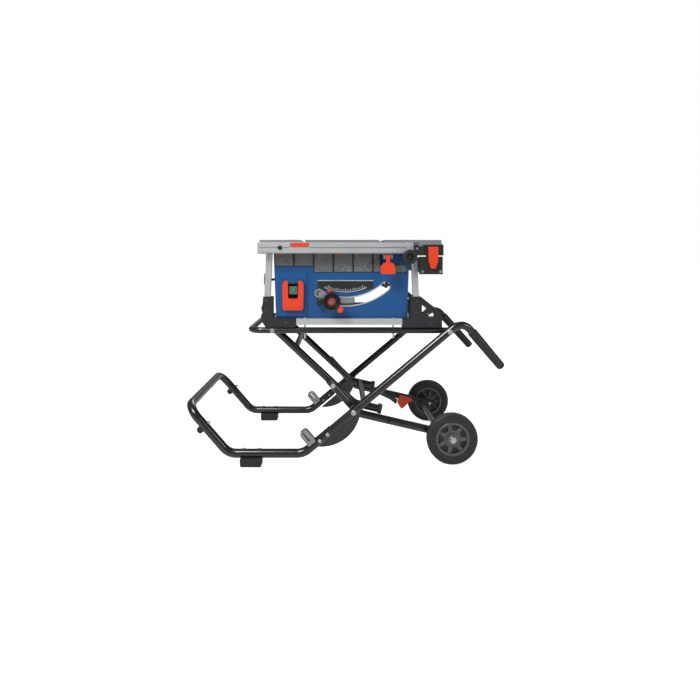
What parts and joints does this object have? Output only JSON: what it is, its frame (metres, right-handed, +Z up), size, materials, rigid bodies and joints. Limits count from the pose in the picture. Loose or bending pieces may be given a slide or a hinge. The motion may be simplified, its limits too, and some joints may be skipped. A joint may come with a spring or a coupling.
{
  "type": "table saw",
  "caption": "Jobsite table saw with a blue body and sliding aluminium table, on a folding black tube stand with two wheels, a floor loop and lifting handles.",
  "frame": {"origin": "on the floor, in the middle of the machine's length and width", "axes": "+X to the operator's right along the table's front, +Y from the operator's side to the back, +Z up"},
  "size_m": [1.2906, 0.7, 0.898],
  "materials": {
    "black_paint": "semi-gloss black powder coat",
    "zinc": "zinc plated",
    "grip_rubber": "matt, moulded",
    "black_plastic": "fine moulded texture",
    "tyre": "semi-matt",
    "rim_plastic": "moulded",
    "red_plastic": "moulded",
    "green_plastic": "moulded",
    "blue_plastic": "fine moulded texture",
    "grey_label": "printed film",
    "cast_aluminium": "machined",
    "aluminium": "extruded, clear anodised",
    "steel": "turned",
    "blade_steel": "ground",
    "motor_black": "painted"
  },
  "bodies": {
    "base_frame": {"base_loop": "black_paint", "foot_tube_near": "black_paint", "foot_tube_far": "black_paint", "leg_tube_near": "black_paint", "leg_tube_far": "black_paint", "handle_grips": "grip_rubber", "foot_pads": "grip_rubber", "loop_bumpers": "grip_rubber", "stop_plates": "black_paint", "saddle_catches": "zinc", "base_bolts": "zinc"},
    "platform": {"platform_frame": "black_paint", "platform_bolts": "zinc", "left_feet": "black_plastic", "right_feet": "black_plastic", "base_rails": "aluminium", "posts": "aluminium", "table_top": "cast_aluminium", "throat_plate": "red_plastic", "housing": "blue_plastic", "switch_box": "black_plastic", "scale_plate": "black_plastic", "slot_trim": "aluminium", "blank_panels": "grey_label", "dust_port": "black_plastic", "cord_gland": "black_plastic"},
    "strut": {"strut_frame": "black_paint", "strut_bumpers": "black_plastic"},
    "wheel_arm": {"wheel_frame": "black_paint", "arm_bolts": "zinc"},
    "wheel_near": {"tyre_near": "tyre", "rim_near": "rim_plastic"},
    "wheel_far": {"tyre_far": "tyre", "rim_far": "rim_plastic"},
    "pedal": {"release_pedal": "red_plastic"},
    "extension": {"front_rail": "aluminium", "rear_rail": "aluminium", "wing_table": "cast_aluminium", "fence_head": "black_plastic", "fence_bar": "aluminium"},
    "fence_latch": {"fence_lever": "red_plastic"},
    "rack_drive": {"pinion_shaft": "steel", "rack_knob": "black_plastic"},
    "rail_lock": {"rail_lock_lever": "red_plastic"},
    "cradle": {"tilt_cradle": "cast_aluminium", "slide_rods": "steel"},
    "bevel_latch": {"bevel_lever": "zinc"},
    "crank": {"crank_shaft": "steel", "handwheel": "black_plastic"},
    "screw": {"lift_screw": "steel"},
    "lift": {"carriage": "cast_aluminium", "motor": "motor_black", "riving_knife": "blade_steel"},
    "blade": {"arbor": "steel", "saw_blade": "blade_steel", "blade_nut": "steel"},
    "switch": {"switch_paddle": "red_plastic"},
    "button": {"start_button": "green_plastic"},
    "side_knob": {"storage_knob": "black_plastic"}
  },
  "joints": [
    {"name": "platform_fold", "type": "hinge", "parent": "base_frame", "child": "platform", "pos_m": [0.41252, 0, 0.533], "axis": [0, -1, 0], "range_deg": [0, 35]},
    {"name": "strut_fold", "type": "hinge", "parent": "platform", "child": "strut", "pos_m": [-0.295, 0, 0.533], "axis": [0, -1, 0], "range_deg": [-0.1, 33]},
    {"name": "arm_fold", "type": "hinge", "parent": "base_frame", "child": "wheel_arm", "pos_m": [0.031, 0, 0.214], "axis": [0, 1, 0], "range_deg": [-0.1, 109]},
    {"name": "wheel_near_spin", "type": "hinge", "parent": "wheel_arm", "child": "wheel_near", "pos_m": [0.427, -0.285, 0.102], "axis": [0, 1, 0], "continuous": true},
    {"name": "wheel_far_spin", "type": "hinge", "parent": "wheel_arm", "child": "wheel_far", "pos_m": [0.427, 0.285, 0.102], "axis": [0, 1, 0], "continuous": true},
    {"name": "pedal_press", "type": "hinge", "parent": "wheel_arm", "child": "pedal", "pos_m": [0.1755, 0.215, 0.16044], "axis": [0, 1, 0], "range_deg": [0, 10], "stiffness_Nm_per_rad": 8, "springref_deg": -2.86},
    {"name": "table_extend", "type": "slide", "parent": "platform", "child": "extension", "axis": [1, 0, 0], "range_m": [0, 0.25]},
    {"name": "rack_turn", "type": "hinge", "parent": "platform", "child": "rack_drive", "pos_m": [0.251, 0, 0.8296], "axis": [0, 1, 0], "range_deg": [-1, 1176.1]},
    {"name": "fence_latch_lift", "type": "hinge", "parent": "extension", "child": "fence_latch", "pos_m": [0.3435, -0.3314, 0.865], "axis": [-1, 0, 0], "range_deg": [0, 55]},
    {"name": "rail_lock_lift", "type": "hinge", "parent": "platform", "child": "rail_lock", "pos_m": [0.168, -0.311, 0.83], "axis": [-1, 0, 0], "range_deg": [0, 50]},
    {"name": "bevel_tilt", "type": "hinge", "parent": "platform", "child": "cradle", "pos_m": [0, 0, 0.898], "axis": [0, -1, 0], "range_deg": [0, 47]},
    {"name": "bevel_latch_turn", "type": "hinge", "parent": "cradle", "child": "bevel_latch", "pos_m": [-0.05496, -0.268, 0.65412], "axis": [0, 1, 0], "range_deg": [0, 30]},
    {"name": "blade_lift", "type": "slide", "parent": "cradle", "child": "lift", "axis": [0, 0, 1], "range_m": [0, 0.074]},
    {"name": "crank_turn", "type": "hinge", "parent": "cradle", "child": "crank", "pos_m": [-0.05496, -0.3, 0.65412], "axis": [0, 1, 0], "range_deg": [-1, 3602]},
    {"name": "screw_turn", "type": "hinge", "parent": "cradle", "child": "screw", "pos_m": [-0.05496, -0.14, 0.7], "axis": [0, 0, 1], "range_deg": [-1, 3602]},
    {"name": "blade_spin", "type": "hinge", "parent": "lift", "child": "blade", "pos_m": [0, 0, 0.766], "axis": [1, 0, 0], "continuous": true},
    {"name": "switch_swing", "type": "hinge", "parent": "platform", "child": "switch", "pos_m": [-0.211, -0.2789, 0.72291], "axis": [-1, 0, 0], "range_deg": [0, 20]},
    {"name": "button_press", "type": "slide", "parent": "platform", "child": "button", "axis": [0, 1, 0], "range_m": [0, 0.004], "stiffness_N_per_m": 600, "springref_m": -0.001},
    {"name": "side_knob_turn", "type": "hinge", "parent": "platform", "child": "side_knob", "pos_m": [-0.31, -0.226, 0.736], "axis": [1, 0, 0], "continuous": true}
  ],
  "couplings": [
    {"joint": "strut_fold", "follows": "platform_fold", "ratio": 0.92857},
    {"joint": "arm_fold", "follows": "platform_fold", "ratio": 3.0857},
    {"joint": "rack_turn", "follows": "table_extend", "rad_per_m": 81.967},
    {"joint": "crank_turn", "follows": "blade_lift", "rad_per_m": 849.08},
    {"joint": "screw_turn", "follows": "blade_lift", "rad_per_m": 849.08}
  ]
}
